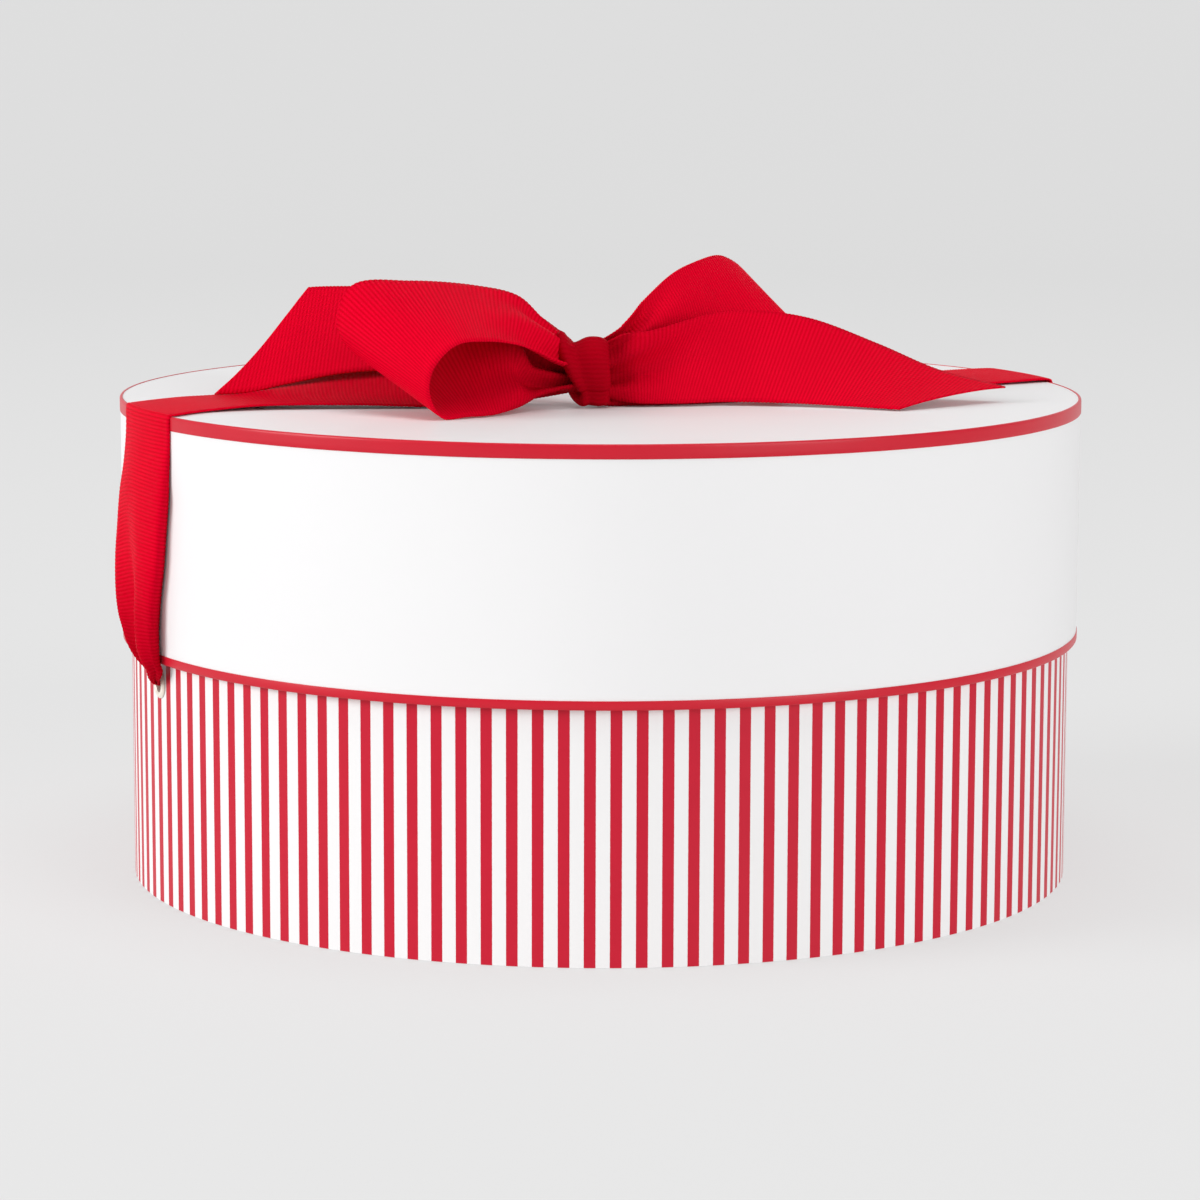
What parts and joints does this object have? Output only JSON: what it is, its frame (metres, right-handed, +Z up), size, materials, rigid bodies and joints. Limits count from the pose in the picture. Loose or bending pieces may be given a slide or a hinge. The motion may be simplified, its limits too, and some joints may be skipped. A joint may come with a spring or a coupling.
{
  "type": "hat box",
  "caption": "Round paper-covered hat box with a deep lift-off lid, striped base, red edging, and a grosgrain ribbon tied in a flat bow on top.",
  "frame": {"origin": "centre of the base's underside, on the surface the box stands on", "axes": "+X through the right eyelet, +Z up along the box's axis; the bow faces 26 degrees round from -Y towards -X"},
  "size_m": [0.3362, 0.3304, 0.2113],
  "materials": {
    "greyboard": "matte",
    "striped_paper": "satin",
    "white_paper": "satin",
    "lining_paper": "matte",
    "underside_paper": "matte",
    "red_edging_paper": "satin",
    "red_ribbon": "satin",
    "eyelet_enamel": "satin"
  },
  "bodies": {
    "base": {"base_wall_board": "greyboard", "base_floor_board": "greyboard", "base_striped_wrap": "striped_paper", "base_underside_paper": "underside_paper", "base_wall_lining": "lining_paper", "base_floor_lining": "lining_paper", "left_eyelet": "eyelet_enamel", "right_eyelet": "eyelet_enamel", "left_eyelet_washer": "eyelet_enamel", "right_eyelet_washer": "eyelet_enamel", "left_ribbon_drop": "red_ribbon", "right_ribbon_drop": "red_ribbon", "left_stop_knot": "red_ribbon", "right_stop_knot": "red_ribbon"},
    "lid": {"lid_wall_board": "greyboard", "lid_top_board": "greyboard", "lid_side_wrap": "white_paper", "lid_top_paper": "white_paper", "lid_top_edging": "red_edging_paper", "lid_bottom_edging": "red_edging_paper", "lid_wall_lining": "lining_paper", "lid_top_lining": "lining_paper", "left_ribbon_run": "red_ribbon", "right_ribbon_run": "red_ribbon", "bow_knot": "red_ribbon", "bow_left_loop": "red_ribbon", "bow_right_loop": "red_ribbon", "bow_left_tail": "red_ribbon", "bow_right_tail": "red_ribbon"}
  },
  "joints": [
    {"name": "lid_lift", "type": "slide", "parent": "base", "child": "lid", "axis": [0, 0, 1], "range_m": [0, 0.11]}
  ]
}
